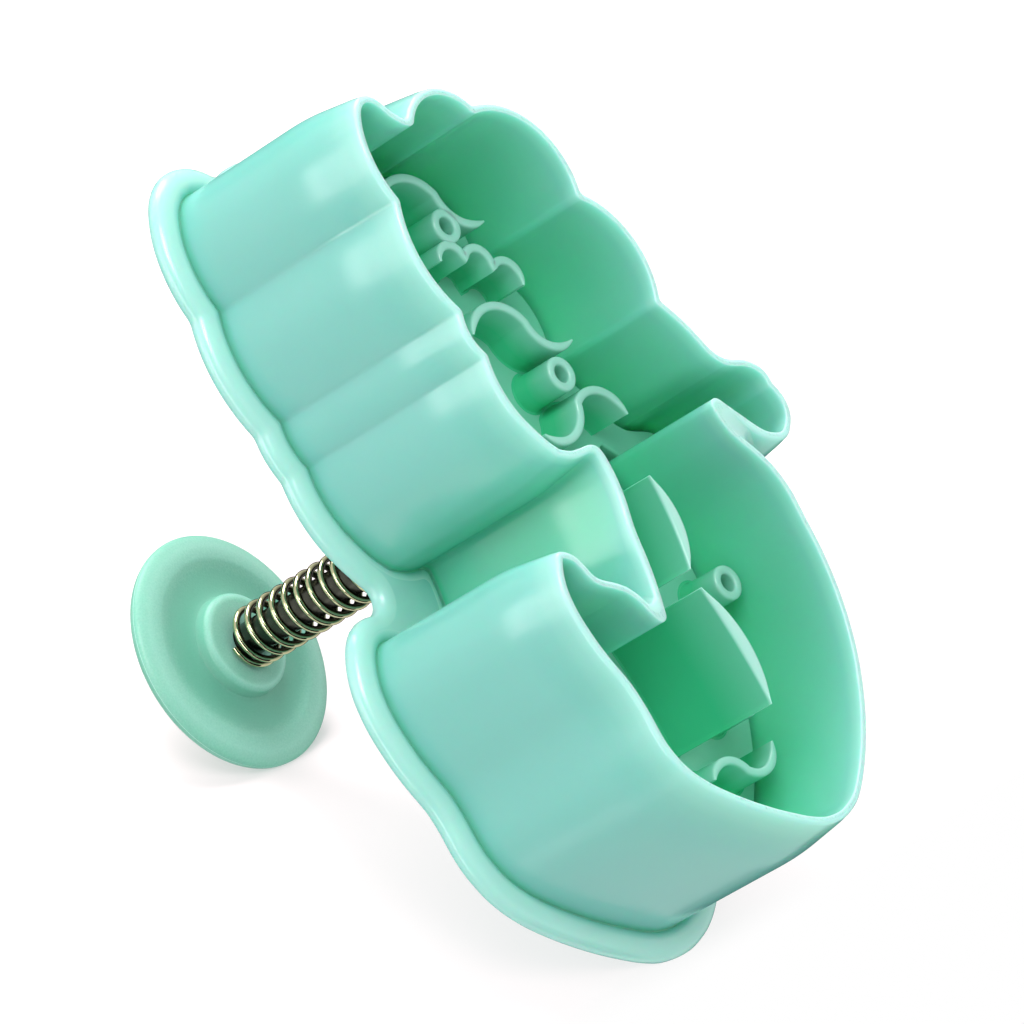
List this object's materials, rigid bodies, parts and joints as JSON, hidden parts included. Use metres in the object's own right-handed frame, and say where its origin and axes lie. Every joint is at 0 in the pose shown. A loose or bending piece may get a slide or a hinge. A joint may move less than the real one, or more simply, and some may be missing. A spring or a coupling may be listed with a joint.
{
  "type": "plunger cutter",
  "caption": "Plastic plunger cutter for dough and fondant with a scalloped outline wall, an embossing stamp plate, and a round spring-loaded push knob on a steel stem.",
  "frame": {"origin": "on the plane of the cutting edge, under the centre of the flange's box", "axes": "+Z along the plunger from the cutting edge to the knob, +Y along the cutter's length to its scalloped head, +X across its width"},
  "size_m": [0.0594, 0.101, 0.0674],
  "materials": {
    "shell": "satin moulded mint polypropylene",
    "stamp": "satin moulded mint polypropylene",
    "stem": "bright drawn steel rod",
    "knob": "fine matt moulded polypropylene",
    "spring": "nickel-plated spring wire"
  },
  "bodies": {
    "shell": {"cutter_shell": "shell", "return_spring": "spring"},
    "plunger": {"stamp_plate": "stamp", "plunger_stem": "stem", "plunger_knob": "knob"}
  },
  "joints": [
    {"name": "plunger_press", "type": "slide", "parent": "shell", "child": "plunger", "axis": [0, 0, -1], "range_m": [0, 0.016], "stiffness_N_per_m": 300, "springref_m": -0.004, "deforming": ["return_spring"]}
  ]
}
